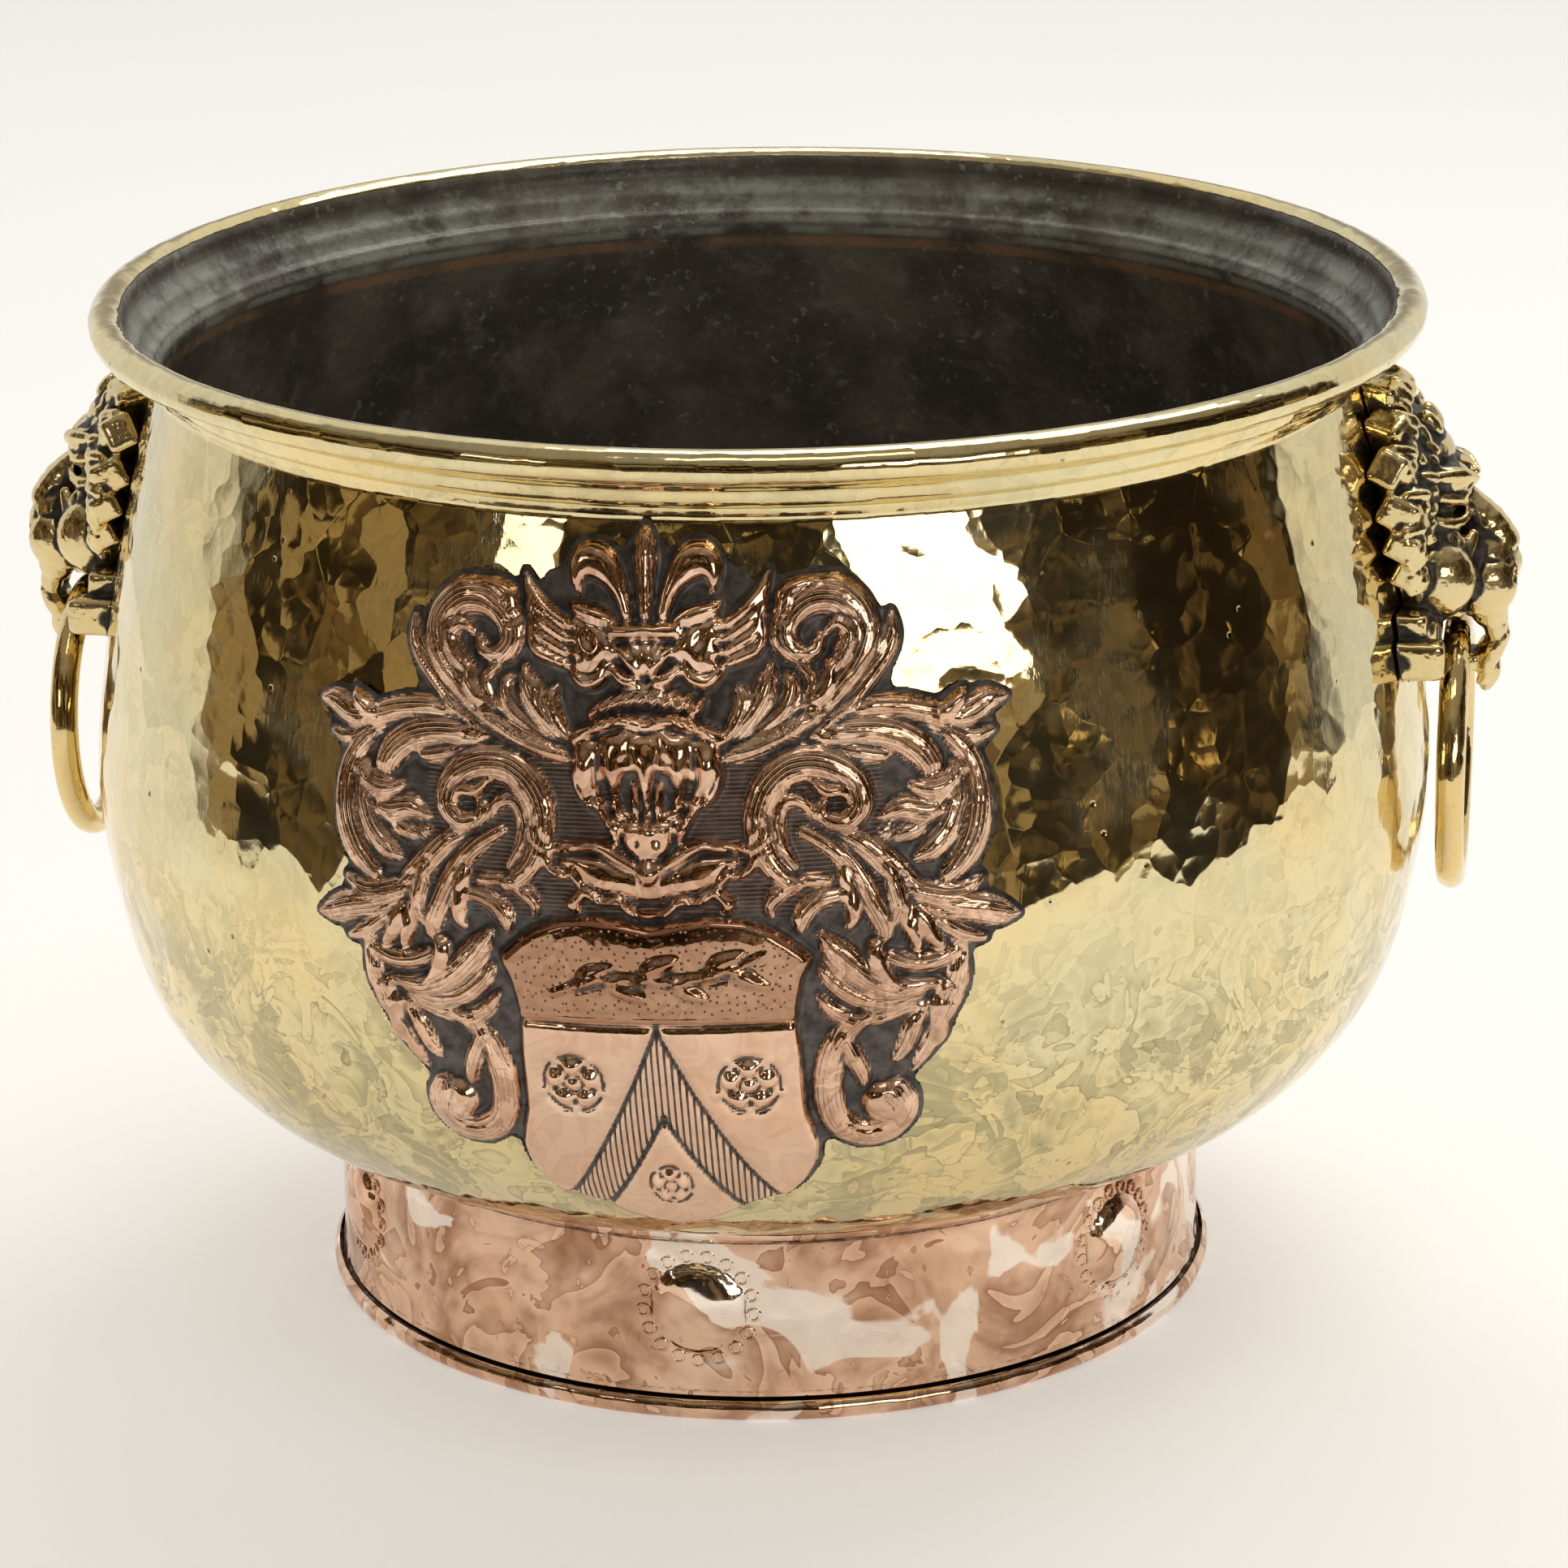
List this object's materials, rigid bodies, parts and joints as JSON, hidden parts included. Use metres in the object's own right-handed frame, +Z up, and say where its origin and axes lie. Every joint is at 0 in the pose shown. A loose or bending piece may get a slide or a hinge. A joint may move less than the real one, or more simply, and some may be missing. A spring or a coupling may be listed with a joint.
{
  "type": "planter pot",
  "caption": "Round-bellied brass planter pot on a copper foot ring, with a raised copper crest and a lion-mask ring handle on each side.",
  "frame": {"origin": "on the pot's axis, level with the underside of the foot", "axes": "+Z up; +X along the line from one handle to the other; the crest faces -Y"},
  "size_m": [0.436, 0.3906, 0.2955],
  "materials": {
    "brass_sheet": "polished, hand-planished sheet brass, dull and dark inside",
    "cast_brass": "cast brass, polished high points over dark recesses",
    "ring_brass": "worn polished brass rod",
    "copper_foot": "polished copper sheet",
    "copper_crest": "repousse copper sheet with dark recesses",
    "iron_wire": "plain iron wire",
    "fastener_brass": "dull brass"
  },
  "bodies": {
    "pot": {"pot_body": "brass_sheet", "rim_wire": "iron_wire", "foot_ring": "copper_foot", "foot_wire": "iron_wire", "crest_plate": "copper_crest", "lion_mask_left": "cast_brass", "lion_mask_right": "cast_brass", "mask_stud_left_upper": "fastener_brass", "mask_stud_left_lower": "fastener_brass", "mask_stud_right_upper": "fastener_brass", "mask_stud_right_lower": "fastener_brass", "mask_washer_left_upper": "fastener_brass", "mask_washer_left_lower": "fastener_brass", "mask_washer_right_upper": "fastener_brass", "mask_washer_right_lower": "fastener_brass", "mask_nut_left_upper": "fastener_brass", "mask_nut_left_lower": "fastener_brass", "mask_nut_right_upper": "fastener_brass", "mask_nut_right_lower": "fastener_brass"},
    "left_ring": {"ring_handle_left": "ring_brass"},
    "right_ring": {"ring_handle_right": "ring_brass"}
  },
  "joints": [
    {"name": "left_ring_swing", "type": "hinge", "parent": "pot", "child": "left_ring", "pos_m": [-0.201, 0, 0.199], "axis": [0, 1, 0], "range_deg": [-5, 165]},
    {"name": "right_ring_swing", "type": "hinge", "parent": "pot", "child": "right_ring", "pos_m": [0.201, 0, 0.199], "axis": [0, -1, 0], "range_deg": [-5, 165]}
  ]
}
